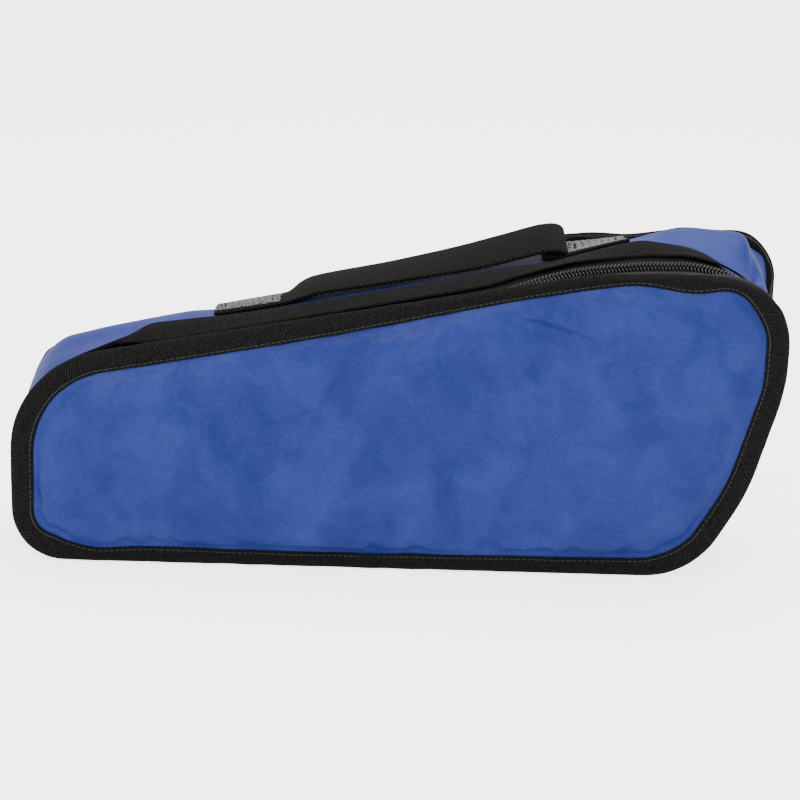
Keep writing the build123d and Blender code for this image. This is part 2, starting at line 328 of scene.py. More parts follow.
def padded_face(name, node, side, width_at, creases, settle):
    """The cloth of one panel, simulated with its edge pinned under its binding, then closed behind
    with its foam."""
    outline = rim(node, CLOTH_STEP)
    widths = evened([width_at(p, out) for p, out in outline], 3)
    flat, faces, depths, nearest = flat_cut(outline, SEAM_INSET, CLOTH_STEP)
    clear = [deep - widths[k] - SEWN_FLAT for deep, k in zip(depths, nearest)]
    places = []
    for p, deep in zip(flat, clear):
        full = 1 - math.exp(-max(0, deep) / PAD_SLOPE)
        wave = 0.0016 * wrinkle((p.x, 0, p.y), 0.050, side)
        wave += 0.0009 * wrinkle((p.x + p.y, 0, p.y * 0.7), 0.020, 4)
        rise = full * (PAD_RISE + wave) + creases(p.x, p.y) * smooth(0, FOLD_START, deep)
        places.append(Vector((p.x, side * (PANEL_FACE + rise), p.y)))
    piece = piece_from(name, places, faces)
    if (piece.data.polygons[0].normal.y > 0) != (side > 0):
        piece.data.flip_normals()
    pinned = piece.vertex_groups.new(name="held")
    for v, deep in zip(piece.data.vertices, clear):
        pinned.add([v.index], 1.0 if deep < 0 else CLOTH_HOLD, "REPLACE")
    cloth = piece.modifiers.new("cloth", "CLOTH")
    cloth.settings.quality = 6
    cloth.settings.mass = 0.15
    cloth.settings.tension_stiffness = 12
    cloth.settings.compression_stiffness = 12
    cloth.settings.shear_stiffness = 4
    cloth.settings.bending_stiffness = 0.08
    cloth.settings.shrink_min = -CLOTH_EXTRA
    cloth.settings.vertex_group_mass = "held"
    cloth.settings.pin_stiffness = 0.6
    cloth.settings.effector_weights.gravity = 0
    cloth.point_cache.frame_start = 1
    cloth.point_cache.frame_end = CLOTH_TICKS
    for tick in range(1, CLOTH_TICKS + 1):
        scene.frame_set(tick)
    activate(piece)
    bpy.ops.object.modifier_apply(modifier=cloth.name)
    scene.frame_set(1)
    for v, start, deep in zip(piece.data.vertices, places, clear):
        moved = v.co - start
        cap = min(PUCKER_CAP, max(0, deep) * PUCKER_SLOPE)
        if moved.length > cap:
            v.co = start + moved * (cap / moved.length)
    activate(piece)
    soften = piece.modifiers.new("soften", "SUBSURF")
    soften.levels = soften.render_levels = 1
    bpy.ops.object.modifier_apply(modifier=soften.name)
    work = bmesh.new()
    work.from_mesh(piece.data)
    border = [e for e in work.edges if e.is_boundary]
    grown = bmesh.ops.extrude_edge_only(work, edges=border)["geom"]
    for v in grown:
        if isinstance(v, bmesh.types.BMVert):
            v.co.y = side * PANEL_BACK
    rear = [e for e in grown if isinstance(e, bmesh.types.BMEdge) and e.is_boundary]
    bmesh.ops.contextual_create(work, geom=rear)
    for v in work.verts:
        v.co = settle(v.co)
    work.to_mesh(piece.data)
    work.free()
    outwards(piece.data)
    refine(piece, 0, 40)
    return piece


def as_sewn(point):
    return point


front_pad = padded_face("front_pad", "front_binding", -1, front_width, front_creases, as_sewn)
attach(front_pad, "front")
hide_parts("front_panel_shell", "front_panel_foam")


def group_of(name, inputs, outputs):
    """A node group, still empty, with its named number sockets."""
    group = bpy.data.node_groups.new(name, "ShaderNodeTree")
    for way, sockets in (("INPUT", inputs), ("OUTPUT", outputs)):
        for socket in sockets:
            group.interface.new_socket(socket, in_out=way, socket_type="NodeSocketFloat")
    return group


def maths(tree, operation, *values):
    return add(tree, "ShaderNodeMath", enumerate(values), operation=operation).outputs[0]


def tinted(tree, skin, tone, low, high):
    """The surface's colour, between two (tone, colour) ends."""
    ramp = add(tree, "ShaderNodeValToRGB", {"Fac": tone})
    for stop, (at, colour) in zip(ramp.color_ramp.elements, (low, high)):
        stop.position = at
        stop.color = (*colour, 1)
    tree.links.new(ramp.outputs["Color"], skin.inputs["Base Color"])


def embossed(tree, skin, height, depth, strength):
    """The surface's fine relief."""
    relief = add(tree, "ShaderNodeBump", {"Height": height, "Distance": depth, "Strength": strength})
    tree.links.new(relief.outputs["Normal"], skin.inputs["Normal"])


# fine grain of the coating, the weave that shows through it, and the slack patches, all as relief; the weave
# and the patches also set the tone, which is painted sheen and shade
grain_and_sheen = group_of("cloth_grain_and_sheen", ("Fine", "Broad"), ("Height", "Tone"))
grain_in = add(grain_and_sheen, "NodeGroupInput")
place = add(grain_and_sheen, "ShaderNodeTexCoord").outputs["Object"]
fine = add(grain_and_sheen, "ShaderNodeTexNoise", {"Vector": place, "Scale": grain_in.outputs["Fine"], "Detail": 3})
slanted = add(grain_and_sheen, "ShaderNodeMapping", {"Vector": place, "Rotation": (0, 0.9, 0), "Scale": (1, 1, 1.7)})
streak = add(grain_and_sheen, "ShaderNodeTexNoise", {"Vector": slanted.outputs[0], "Scale": 420, "Detail": 3,
                                           "Distortion": 0.4})
broad = add(grain_and_sheen, "ShaderNodeTexNoise", {"Vector": place, "Scale": grain_in.outputs["Broad"], "Detail": 3,
                                          "Distortion": 0.6})
rough = maths(grain_and_sheen, "MULTIPLY", fine.outputs["Fac"], 0.35)
streaks = maths(grain_and_sheen, "MULTIPLY_ADD", streak.outputs["Fac"], 0.5, rough)
add(grain_and_sheen, "NodeGroupOutput", {
    "Height": maths(grain_and_sheen, "MULTIPLY_ADD", broad.outputs["Fac"], 0.6, streaks),
    "Tone": maths(grain_and_sheen, "MULTIPLY_ADD", streak.outputs["Fac"], 0.35,
                  maths(grain_and_sheen, "MULTIPLY", broad.outputs["Fac"], 0.65))})


def coated_cloth(name, dark, pale, roughness, fine_scale, depth, **sockets):
    """Proofed nylon: bump from the grain group, a tone from it that is painted sheen and shade, and a soft
    shine.
    """
    material, tree, skin = finish_named(name, dark, roughness, **sockets)
    cloth = add(tree, "ShaderNodeGroup", node_tree=grain_and_sheen)
    cloth.inputs["Fine"].default_value = fine_scale
    cloth.inputs["Broad"].default_value = 34
    # paler end: painted sheen; darker end: painted shade, on the one cloth
    tinted(tree, skin, cloth.outputs["Tone"], (0.38, dark), (0.64, pale))
    shine = add(tree, "ShaderNodeMapRange", {"Value": cloth.outputs["Tone"], "From Min": 0.3, "From Max": 0.7,
                                             "To Min": roughness - 0.06, "To Max": roughness + 0.08})
    tree.links.new(shine.outputs["Result"], skin.inputs["Roughness"])
    embossed(tree, skin, cloth.outputs["Height"], depth, 0.6)
    return material


# its two blues are one cloth: the paler one painted sheen, the darker one painted shade
blue_nylon = coated_cloth("blue_nylon", (0.0115, 0.0225, 0.160), (0.024, 0.042, 0.215), 0.48, 1500, 0.0004,
                          Specular_IOR_Level=0.18)
front_pad.data.materials.append(blue_nylon)


# Back panel. The same padded cloth, plain, on the wall side of the case. Its top has
# slumped at the narrow end and dips again under the handle's right end.
SLUMP = [(-0.195, 0), (-0.175, -0.0095), (-0.105, -0.0095), (-0.080, -0.0070), (0.060, 0), (0.088, -0.0003),
         (0.102, -0.0018), (0.112, -0.0037), (0.125, -0.0062), (0.142, -0.0055), (0.152, -0.0034),
         (0.175, -0.0020), (0.190, 0)]
SLUMP_FRONT = -0.010        # nothing forward of this has slumped
SLUMP_DEPTH = 0.048


def slump(point):
    """Where a point of the back half lies once the empty case has settled."""
    x, y, z = point
    back = min(1.1, (max(0, y - SLUMP_FRONT) / SLUMP_DEPTH) ** 2)
    return Vector((x, y, z + back * smooth(0.02, 0.10, z) * run(SLUMP, x)))


back_pad = padded_face("back_pad", "rear_binding", 1, rear_width, no_creases, slump)
back_pad.data.materials.append(blue_nylon)
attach(back_pad, "case")
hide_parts("back_panel_shell", "back_panel_foam")


# Bindings. Black twill tape folded over the seam and sewn through, one round each panel.
# Its ends lap on the base. The sewn edge wanders, and narrows along the sloping top.
BINDING_FACE = 0.042
TAPE_STEP = 0.003
# how far the front tape's folded edge hangs below its seam line near the tall end
TAPE_DIP = [(0.148, 0), (0.166, 0.0020), (0.180, 0.0026), (0.192, 0.0012), (0.200, 0)]


def loft(name, rows, closed_rows=True, closed_section=True, first_u=0.0):
    """A skin over rows of points, with a UV map in metres: u along the rows, v across them."""
    if not closed_rows:
        rows = [rows[0], [a.lerp(b, 0.1) for a, b in zip(*rows[:2])], *rows[1:-1],
                [a.lerp(b, 0.1) for a, b in zip(rows[-1], rows[-2])], rows[-1]]
    count, wide = len(rows), len(rows[0])
    along, across = [first_u], [0.0]
    for r in range(count):
        ahead = rows[(r + 1) % count]
        along.append(along[-1] + sum((ahead[j] - rows[r][j]).length for j in range(wide)) / wide)
    for j in range(wide):
        across.append(across[-1] + (rows[count // 2][(j + 1) % wide] - rows[count // 2][j]).length)
    faces, places = [], []
    for r in range(count if closed_rows else count - 1):
        for j in range(wide if closed_section else wide - 1):
            r1, j1 = (r + 1) % count, (j + 1) % wide
            faces.append((r * wide + j, r1 * wide + j, r1 * wide + j1, r * wide + j1))
            places += [(along[r], across[j]), (along[r + 1], across[j]), (along[r + 1], across[j + 1]),
                       (along[r], across[j + 1])]
    if closed_section and not closed_rows:
        for start in (0, (count - 1) * wide):
            faces.append(tuple(range(start, start + wide)))
            places += [(along[start // wide], across[j]) for j in range(wide)]
    piece = piece_from(name, [p for row in rows for p in row], faces)
    layer = piece.data.uv_layers.new(name="cloth")
    for corner, place in zip(layer.data, places):
        corner.uv = place
    outwards(piece.data)
    return piece


def tape_section(w, b):
    """The folded tape cut across: how far in from the fold each point lies, and how far under the
    face. The face leg is w wide, with its stitches drawn in, and the inner leg is b wide."""
    face = [(w, 0.0006), (w, -0.0001), (w - 0.0014, -0.0002), (w - 0.0019, 0.0001),
            (w - 0.0027, -0.0003), (w * 0.5, -0.0007), (w * 0.28, -0.0007)]
    fold = [(0.0022, -0.0004), (0.0006, 0.0005), (0, 0.0018), (0.0004, 0.0031), (0.0018, 0.0040)]
    inner = [(b * 0.6 + 0.001, 0.0042), (b, 0.0042), (b, 0.0036), (b * 0.5 + 0.001, 0.0034)]
    return face + fold + inner + [(0.0024, 0.0031), (0.0012, 0.0020), (0.0020, 0.0008), (w * 0.5, 0.0003)]


def folded_tape(name, node, side, width_at, inner_leg, slack, settle):
    """The folded tape of one panel, with its outline and how much of it shows at each step."""
    outline = rim(node, TAPE_STEP)
    widths = evened([width_at(p, out) for p, out in outline], 3)
    legs = evened([inner_leg(p, out) for p, out in outline], 3)
    rows = []
    for k, ((p, out), w, b) in enumerate(zip(outline, widths, legs)):
        lapped = 1 - smooth(3, 4, k)
        sway = 0.0003 * wrinkle((p.x, 0, p.y), 0.014, 2)
        proud = 0.0005 * lapped + 0.00025 * wrinkle((p.x, 0, p.y), 0.009, 7)
        w += 2 * sway
        row = []
        dip = slack(p, out)
        for inwards, down in tape_section(w, b):
            q = p - out * (inwards - sway + dip * max(0, 1 - inwards / w))
            row.append(settle(Vector((q.x, side * (BINDING_FACE - down + proud), q.y))))
        rows.append(row)
    piece = loft(name, rows)
    refine(piece)
    return piece, outline, widths


def front_leg(p, out):
    """How wide the tape's inner leg is."""
    return 0.0046


def front_slack(p, out):
    return run(TAPE_DIP, p.x) if out.y > 0 else 0.0


def no_slack(p, out):
    return 0.0


def rear_leg(p, out):
    return 0.0046 + 0.0028 * smooth(0.4, 0.9, out.y)


def ribs(tree, place):
    """A wave from -1 to 1, with one rib to each whole step of place."""
    return maths(tree, "SINE", maths(tree, "MULTIPLY", place, 2 * math.pi))


# slanted ribs that are not quite even, and the finer yarns that cross them, as relief and as a tone that is
# paler on the raised yarns: painted highlight
twill = group_of("twill_weave_and_sheen", ("Pitch",), ("Height", "Tone"))
twill_in = add(twill, "NodeGroupInput")
spot = add(twill, "ShaderNodeUVMap", uv_map="cloth").outputs[0]
spot_along = add(twill, "ShaderNodeSeparateXYZ", {0: spot})
jitter = add(twill, "ShaderNodeTexNoise", {"Vector": spot, "Scale": 420, "Detail": 2}).outputs["Fac"]
rib_place = maths(twill, "DIVIDE", maths(twill, "ADD", spot_along.outputs[0], spot_along.outputs[1]),
                  twill_in.outputs["Pitch"])
yarn_place = maths(twill, "DIVIDE", maths(twill, "SUBTRACT", spot_along.outputs[0], spot_along.outputs[1]),
                   maths(twill, "MULTIPLY", twill_in.outputs["Pitch"], 0.55))
rib = ribs(twill, maths(twill, "ADD", rib_place, jitter))
yarn = ribs(twill, yarn_place)
weave = maths(twill, "MULTIPLY_ADD", rib, 0.3, maths(twill, "MULTIPLY_ADD", yarn, 0.2, 0.5))
add(twill, "NodeGroupOutput", {
    "Height": weave,
    "Tone": maths(twill, "MULTIPLY", weave, maths(twill, "ADD", jitter, 0.5))})


def woven(name, group, dark, pale, roughness, pitch, depth, shade=0.2, **sockets):
    """A woven tape: relief from a weave group of the given pitch, and a tone from it, paler on the raised
    yarns as painted highlight and dark below a shade.
    """
    material, tree, skin = finish_named(name, dark, roughness, **sockets)
    cloth = add(tree, "ShaderNodeGroup", node_tree=group)
    cloth.inputs["Pitch"].default_value = pitch
    # raised yarns paler: painted highlight; the hollows between them darker: painted shade
    tinted(tree, skin, cloth.outputs["Tone"], (shade, dark), (0.95, pale))
    embossed(tree, skin, cloth.outputs["Height"], depth, 0.8)
    return material


# its pale end is painted highlight on the tape's raised ribs
black_tape = woven("black_tape", twill, (0.0004, 0.0004, 0.0004), (0.024, 0.0235, 0.022), 0.8, 0.0016, 0.0008,
                   shade=0.42, Specular_IOR_Level=0.12)
front_binding, front_outline, front_widths = folded_tape(
    "front_binding_tape", "front_binding", -1, front_width, front_leg, front_slack, as_sewn)
rear_binding, rear_outline, rear_widths = folded_tape(
    "rear_binding_tape", "rear_binding", 1, rear_width, rear_leg, no_slack, slump)


for tape, body, node, outline, pad in (
        (front_binding, "front", "front_binding", front_outline, "front_pad"),
        (rear_binding, "case", "rear_binding", rear_outline, "back_pad")):
    tape.data.materials.append(black_tape)
    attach(tape, body)
    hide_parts(node)


# Gusset. One padded band round the ends, base and top, sewn to both panels. Its top is cut
# back for the zipper and stands proud of the seams, and its ends bulge a little.
WALL_SEAM_Y = 0.0374
WALL_STEP = 0.004
ZIP_CUT = 0.0195            # how much narrower the band is along the zipper
ZIP_OPENS = (-0.172, -0.128)
ZIP_CLOSES = (0.150, 0.192)
ZIP_EDGE_Y = -0.0180
CROWN_Y = 0.010             # how far behind the middle the top is highest, at the tall end
WALL_PAD = 0.0030
WALL_LINING = 0.0005
END_BULGE = 0.0010
CORNER_SLACK = 0.009        # how much tighter the narrow end's top corner is bent than in the CAD
CORNER_WAY = Vector((-0.776, 0.631))
CROWN_CORNER_WAY = Vector((0.72, 0.69))
CROWN_CORNER_DRAW = 0.0060  # how far the tall end's top corner is drawn in at its front seam
CORNER_HALF = 0.775         # cosine of half of that corner's turn
TALL_END_DRAW = 0.0050      # how far the tall end's wall is drawn in between its seams
BACK_TUCK = -0.0050         # how far the back seam lies under the wall's top
# how far the zipper's edge of the band, and its crown behind that, stand over the CAD's top
EDGE_HEIGHT = [(-0.172, 0.0015), (-0.143, 0.0027), (-0.133, 0.0052), (-0.112, 0.0042), (-0.090, 0.0026),
               (-0.069, 0.0022), (0, 0.0015), (0.060, 0.0026), (0.080, 0.0016), (0.095, 0.0030),
               (0.110, 0.0044), (0.126, 0.0049), (0.136, 0.0028), (0.158, -0.0007), (0.168, -0.0038),
               (0.177, -0.0064), (0.187, -0.0110)]
CROWN_HEIGHT = [(-0.200, 0.0020), (-0.180, 0.0026), (-0.115, 0.0038), (-0.095, 0.0016), (0, 0.0004),
                (0.070, 0), (0.100, -0.0016), (0.120, -0.0010), (0.145, 0.0036), (0.180, 0.0058),
                (0.200, 0.0030)]

wall_rim = rim("gusset_shell", WALL_STEP)
wall_top = sorted((p.x, p.y) for p, out in wall_rim if out.y > 0.15)


def top_z(x):
    """Height of the wall's top, as the CAD has it."""
    return run(wall_top, x)


def zip_open(x):
    """How far the wall's front edge is cut back for the zipper: 0 in the seam, 1 along the top."""
    return smooth(*ZIP_OPENS, x) * (1 - smooth(*ZIP_CLOSES, x))


def wall_height(x, y):
    """How far the top of the band stands over the CAD's, from the zipper's edge to the back seam."""
    edge = run(EDGE_HEIGHT, x) - 0.0010
    crown = run(CROWN_HEIGHT, x)
    crown_y = CROWN_Y * smooth(-0.06, 0.12, x)
    if y < crown_y:
        return edge + (crown - edge) * smooth(ZIP_EDGE_Y, crown_y, y)
    return crown + (BACK_TUCK - crown) * ((y - crown_y) / (WALL_SEAM_Y - crown_y)) ** 2


def wall_point(p, out, y, inwards=0.0):
    """A point of the band at rim point p and depth y, some way under its outer face."""
    across = (y + WALL_SEAM_Y) / (2 * WALL_SEAM_Y)
    on_top = smooth(0.35, 0.85, out.y)
    on_base = smooth(0.5, 0.9, -out.y)
    swell = 1 - abs(2 * across - 1) ** 3
    bulge = (END_BULGE - (END_BULGE + TALL_END_DRAW) * smooth(0.1, 0.6, out.x)) * swell
    bulge += CORNER_SLACK * max(0, out.dot(CORNER_WAY) / CORNER_HALF - 1) * swell
    bulge += 0.0006 * wrinkle((p.x, y, p.y), 0.030, 5)
    at_crown_corner = smooth(0.72, 0.96, out.dot(CROWN_CORNER_WAY)) * (1 - smooth(0, 0.35, across))
    bulge *= (1 - on_base) * (1 - on_top * smooth(0.80, 0.97, out.y))
    q = p + out * (bulge - CROWN_CORNER_DRAW * at_crown_corner - inwards)
    return slump(Vector((q.x, y, q.y + wall_height(p.x, y) * on_top)))


wall_steps = [0, 0.015, 0.04, 0.08, 0.14, 0.22, 0.30, 0.38, 0.46, 0.54, 0.62, 0.70, 0.78, 0.86, 0.92,
              0.96, 0.985, 1]


def band(name, outer, inner):
    """A layer of the band between two depths under its outer face."""
    rows = []
    for p, out in wall_rim:
        y0 = -WALL_SEAM_Y + ZIP_CUT * zip_open(p.x) * smooth(0.1, 0.5, out.y)
        depths = [y0 + (WALL_SEAM_Y - y0) * t for t in wall_steps]
        thin = [0.15 + 0.85 * smooth(-0.005, 0.10, t) for t in wall_steps]
        rows.append([wall_point(p, out, y, outer * k) for y, k in zip(depths, thin)]
                    + [wall_point(p, out, y, inner * k) for y, k in reversed(list(zip(depths, thin)))])
    piece = loft(name, rows)
    refine(piece)
    return piece


gusset_wall = band("gusset_wall", 0, WALL_PAD)
gusset_wall.data.materials.append(blue_nylon)
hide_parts("gusset_shell", "gusset_foam")
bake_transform(gusset_wall)

# its two greys are one cloth: the paler one painted sheen, the darker one painted shade
dark_lining = coated_cloth("dark_lining", (0.012, 0.012, 0.014), (0.022, 0.022, 0.026), 0.55, 1700, 0.0002)
gusset_inside = band("gusset_inside", WALL_PAD + 0.0001, WALL_PAD + WALL_LINING)
gusset_inside.data.materials.append(dark_lining)
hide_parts("gusset_lining")
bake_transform(gusset_inside)


# Zipper's edge binding. A flat strip of the twill tape that binds the band's cut edge and
# leans over the coil. At both ends it runs forward and dies into the front seam.
STRIP_ENDS = (-0.171, 0.1865)
STRIP_COUNT = 150
STRIP_THICK = 0.0008
STRIP_HIGH_Y = (-0.0380, 0.0222)    # where each long edge starts in the seam, and how far back it
STRIP_LOW_Y = (-0.0386, 0.0106)     # lies along the top
# the strip cut across: how far up it each point lies, and how far off its middle
STRIP_SECTION = [(0, 0.0006), (0, 0.0014), (0.04, 0.0019), (0.12, 0.0016), (0.3, 0.0012), (0.5, 0.0010),
                 (0.7, 0.0008), (0.88, 0.0004), (0.96, 0.0004), (1, 0.0001), (1, -STRIP_THICK),
                 (0.85, -STRIP_THICK), (0.5, 0), (0.15, 0.0003)]
# how far the coil rises towards the handle's right end, and how far it rolls over there
COIL_LIFT = [(0.046, 0), (0.066, 0.0028), (0.084, 0.0044), (0.098, 0.0042), (0.119, 0.0024), (0.139, 0.0008),
             (0.151, 0.0010), (0.167, 0.0003), (0.184, -0.0022)]
COIL_TILT = [(0.046, 0), (0.084, 0.75), (0.105, 1.0), (0.150, 1.05), (0.168, 0.65), (0.184, 0.35)]
COIL_DEEP = 0.0070
COIL_Y = -0.0325


def coil_height(x):
    """The coil's height over the CAD's top of the wall."""
    return run(COIL_LIFT, x) - COIL_DEEP


strip_rows = []
for k in range(STRIP_COUNT + 1):
    x = STRIP_ENDS[0] + (STRIP_ENDS[1] - STRIP_ENDS[0]) * k / STRIP_COUNT
    open_here = zip_open(x)
    high_y = STRIP_HIGH_Y[0] + STRIP_HIGH_Y[1] * open_here
    low_y = STRIP_LOW_Y[0] + STRIP_LOW_Y[1] * smooth(0, 0.55, open_here)
    high = run(EDGE_HEIGHT, x)
    # its lower edge lies over the coil, higher at the narrow end and lower at the tall one
    low = coil_height(x) + 0.0030 + 0.0030 * bump(-0.148, 0.014, x) - 0.0022 * smooth(0.150, 0.175, x)
    low += 0.0008 * math.sin(run(COIL_TILT, x))
    low = high - 0.0012 + (low - high + 0.0012) * smooth(0, 0.7, open_here)
    ripple = 0.0003 * wrinkle((x, 0, 0), 0.016, 3)
    section = []
    for t, n in STRIP_SECTION:
        y = low_y + (high_y - low_y) * t
        section.append(Vector((x, y, top_z(x) + low + (high - low) * (t * (1.5 - 0.5 * t)) + n + ripple)))
    strip_rows.append(section)
edge_strip = loft("zipper_edge_strip", strip_rows, closed_rows=False)
refine(edge_strip)
edge_strip.data.materials.append(black_tape)
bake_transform(edge_strip)
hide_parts("zipper_edge_binding")


# Zipper tapes. Two narrow woven tapes, one sewn in behind the front binding and one under
# the edge strip. Each carries half of the coil along its inner edge.
ZIP_RUN = (-0.1570, 0.1860)
ZIP_COUNT = 120
REAR_END = 0.1740           # the rear half stops short, so that the band can give beside it
ZIP_TAPE_THICK = 0.0005
UNDER_COIL = 0.0015         # how far from the coil's middle line each tape's inner edge lies
front_top = sorted((p.x, p.y) for p, out in front_outline if out.y > 0.15)


def coil_y(x):
    """The coil runs straight, and turns forward into the seam at the tall end."""
    return COIL_Y - 0.0042 * smooth(0.160, 0.188, x)


def coil_z(x):
    return top_z(x) + coil_height(x)


def ribbon(name, start, end, edges):
    """A thin closed tape whose middle line across is given by a function of x."""
    rows = []
    for k in range(ZIP_COUNT + 1):
        x = start + (end - start) * k / ZIP_COUNT
        line = edges(x)
        upper = [Vector((x, y, z + ZIP_TAPE_THICK / 2)) for y, z in line]
        lower = [Vector((x, y, z - ZIP_TAPE_THICK / 2)) for y, z in reversed(line)]
        rows.append(upper + lower)
    piece = loft(name, rows, closed_rows=False)
    refine(piece)
    return piece


def front_tape_line(x):
    """From the seam down behind the binding and forward under the front half of the coil."""
    coil = coil_z(x)
    seam = min(run(front_top, x) - 0.0050, coil + 0.0008) + 0.5 * run(COIL_LIFT, x)
    tilt = run(COIL_TILT, x)
    near = coil_y(x) - UNDER_COIL * math.cos(tilt)
    low = coil - UNDER_COIL * math.sin(tilt) - 0.0004
    return [(-0.0377, seam - 0.0050), (-0.0377, seam), (-0.0370, seam * 0.6 + low * 0.4),
            (-0.0360, seam * 0.2 + low * 0.8), (near, low)]


def rear_tape_line(x):
    """From the rear half of the coil up under the edge strip."""
    coil = coil_z(x)
    tilt = run(COIL_TILT, x)
    near = coil_y(x) + UNDER_COIL * math.cos(tilt) + 0.0006 * math.sin(tilt)
    high = coil + UNDER_COIL * math.sin(tilt) - 0.0004
    edge = top_z(x) + run(EDGE_HEIGHT, x) - 0.0030
    far = coil_y(x) + 0.0130
    return [(near, high), (near + 0.003, high * 0.9 + edge * 0.1), (near + 0.006, high * 0.6 + edge * 0.4),
            (far, edge)]


# its paler end is painted highlight on the tape's raised ribs
zipper_tape = woven("zipper_tape", twill, (0.003, 0.003, 0.003), (0.012, 0.012, 0.012), 0.8, 0.0009, 0.0002)
front_tape = ribbon("zipper_front_ribbon", *ZIP_RUN, front_tape_line)
rear_tape = ribbon("zipper_rear_ribbon", ZIP_RUN[0], REAR_END, rear_tape_line)
for tape, body, node, wide in ((front_tape, "front", "zipper_front_tape", 0.0105),
                               (rear_tape, "case", "zipper_rear_tape", 0.0130)):
    tape.data.materials.append(zipper_tape)
    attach(tape, body)
    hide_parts(node)


# Zipper coil. A nylon monofilament wound into slanted loops, one row along each tape. The
# heads of the two rows interlock down the middle.
TOOTH_PITCH = 0.00187
TOOTH_OUT = 0.00135         # how far each loop's middle lies from the coil's middle line
COIL_RUN = (-0.1540, 0.1880)


def template(name, long, wide, high, arch=0.0):
    """A small rounded bar along x, arched in its middle, to be copied along a row."""
    bpy.ops.object.select_all(action="DESELECT")
    bpy.ops.mesh.primitive_uv_sphere_add(segments=6, ring_count=5, radius=0.5, rotation=(0, math.pi / 2, 0))
    piece = bpy.context.object
    piece.name = name
    bpy.ops.object.transform_apply(location=False, rotation=True, scale=False)
    bpy.ops.object.mode_set(mode="EDIT")
    bpy.ops.mesh.select_all(action="SELECT")
    bpy.ops.transform.resize(value=(long, wide, high))
    bpy.ops.object.mode_set(mode="OBJECT")
    for v in piece.data.vertices:
        v.co.x = math.copysign(min(abs(v.co.x) * 1.25, long / 2), v.co.x)
        v.co.z += arch * (1 - (2 * v.co.x / long) ** 2)
    mesh = piece.data
    bpy.data.objects.remove(piece)
    return mesh


def row_of(name, shape, places):
    """Copies of one small mesh, joined into a single piece, one at each placing matrix."""
    corners = np.array([v.co for v in shape.vertices])
    faces = [tuple(f.vertices) for f in shape.polygons]
    points, polygons = [], []
    for k, place in enumerate(places):
        spin = np.array(place.to_3x3())
        points.extend((corners @ spin.T + np.array(place.translation)).tolist())
        polygons.extend(tuple(i + k * len(corners) for i in face) for face in faces)
    piece = piece_from(name, points, polygons)
    refine(piece, 0, 80)
    return piece


def placed(point, along, up):
    """A placing matrix with x along a direction and z close to another."""
    x = along.normalized()
    y = up.cross(x).normalized()
    return Matrix.Translation(point) @ Matrix((x, y, x.cross(y))).transposed().to_4x4()


coil_material, coil_tree, coil_skin = finish_named("zipper_coil", (0.006, 0.006, 0.006), 0.4)
coil_wear = add(coil_tree, "ShaderNodeTexNoise", {
    "Vector": add(coil_tree, "ShaderNodeTexCoord").outputs["Object"], "Scale": 700, "Detail": 2})
coil_shine = add(coil_tree, "ShaderNodeMapRange", {"Value": coil_wear.outputs["Fac"], "To Min": 0.3,
                                                   "To Max": 0.55})
coil_tree.links.new(coil_shine.outputs["Result"], coil_skin.inputs["Roughness"])
tooth = template("tooth", 0.0034, 0.00125, 0.0013, 0.0003)
teeth = round((COIL_RUN[1] - COIL_RUN[0]) / TOOTH_PITCH)
for side, name, node, body in ((-1, "zipper_front_teeth", "zipper_front_coil", "front"),
                               (1, "zipper_rear_teeth", "zipper_rear_coil", "case")):
    spots = []
    for k in range(teeth):
        x = COIL_RUN[0] + TOOTH_PITCH * (k + (0.25 if side > 0 else -0.25))
        if side > 0 and x > REAR_END:
            break
        tilt = run(COIL_TILT, x)
        here = Vector((x, coil_y(x) + side * TOOTH_OUT * math.cos(tilt),
                       coil_z(x) + 0.0001 + side * TOOTH_OUT * math.sin(tilt)))
        ahead = Vector((x + 0.001, coil_y(x + 0.001), coil_z(x + 0.001)))
        run_way = (ahead - Vector((x, coil_y(x), coil_z(x)))).normalized()
        lean = Matrix.Rotation(tilt, 3, run_way)
        up = lean @ Vector((-run_way.z, 0, run_way.x))
        outward = lean @ Vector((0, side, 0)) + run_way * 0.5 - up * 0.2
        spots.append(placed(here, outward, up))
    coil = row_of(name, tooth, spots)
    coil.data.materials.append(coil_material)
    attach(coil, body)
    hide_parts(node)


# Handle. Flat basket-weave webbing, sewn down at both ends. Its slack stands up between
# them and is folded back on itself at the tall end.
WEBBING_Y = 0.0062
WEBBING_HALF = 0.019
WEBBING_THICK = 0.0020
SELVEDGE = (0.0012, 0.0003, 0.0007)     # where its rounding starts and ends, and half its thickness there
LEFT_LETS_GO = (-0.066, -0.046)
RIGHT_IS_HELD = (0.066, 0.078)
HANDLE_MIDDLE_X = 0.012
# each half's path along the wall and off it, and how far its front edge hangs under its middle
LEFT_PATH = [(-0.0985, 0.0011), (-0.092, 0.0011), (-0.082, 0.0011), (-0.072, 0.0011), (-0.063, 0.0013),
             (-0.058, 0.0022), (-0.053, 0.0041), (-0.046, 0.0058), (-0.034, 0.0062), (-0.020, 0.0062),
             (-0.004, 0.0064), (HANDLE_MIDDLE_X, 0.0072)]
RIGHT_PATH = [(HANDLE_MIDDLE_X, 0.0072), (0.028, 0.0080), (0.044, 0.0094), (0.058, 0.0108), (0.070, 0.0122),
              (0.078, 0.0128), (0.0850, 0.0120), (0.0885, 0.0092), (0.0875, 0.0060), (0.0825, 0.0046),
              (0.0775, 0.0038), (0.0755, 0.0024), (0.0790, 0.0012), (0.086, 0.0011), (0.096, 0.0011),
              (0.110, 0.0011), (0.1216, 0.0011)]
WEBBING_TILT = [(-0.040, 0), (0, 0.0015), (0.050, 0.0048), (0.085, 0.0055)]
slope_from, slope_to = wall_top[len(wall_top) // 4], wall_top[len(wall_top) // 2]
SLOPE = math.atan2(slope_to[1] - slope_from[1], slope_to[0] - slope_from[0])
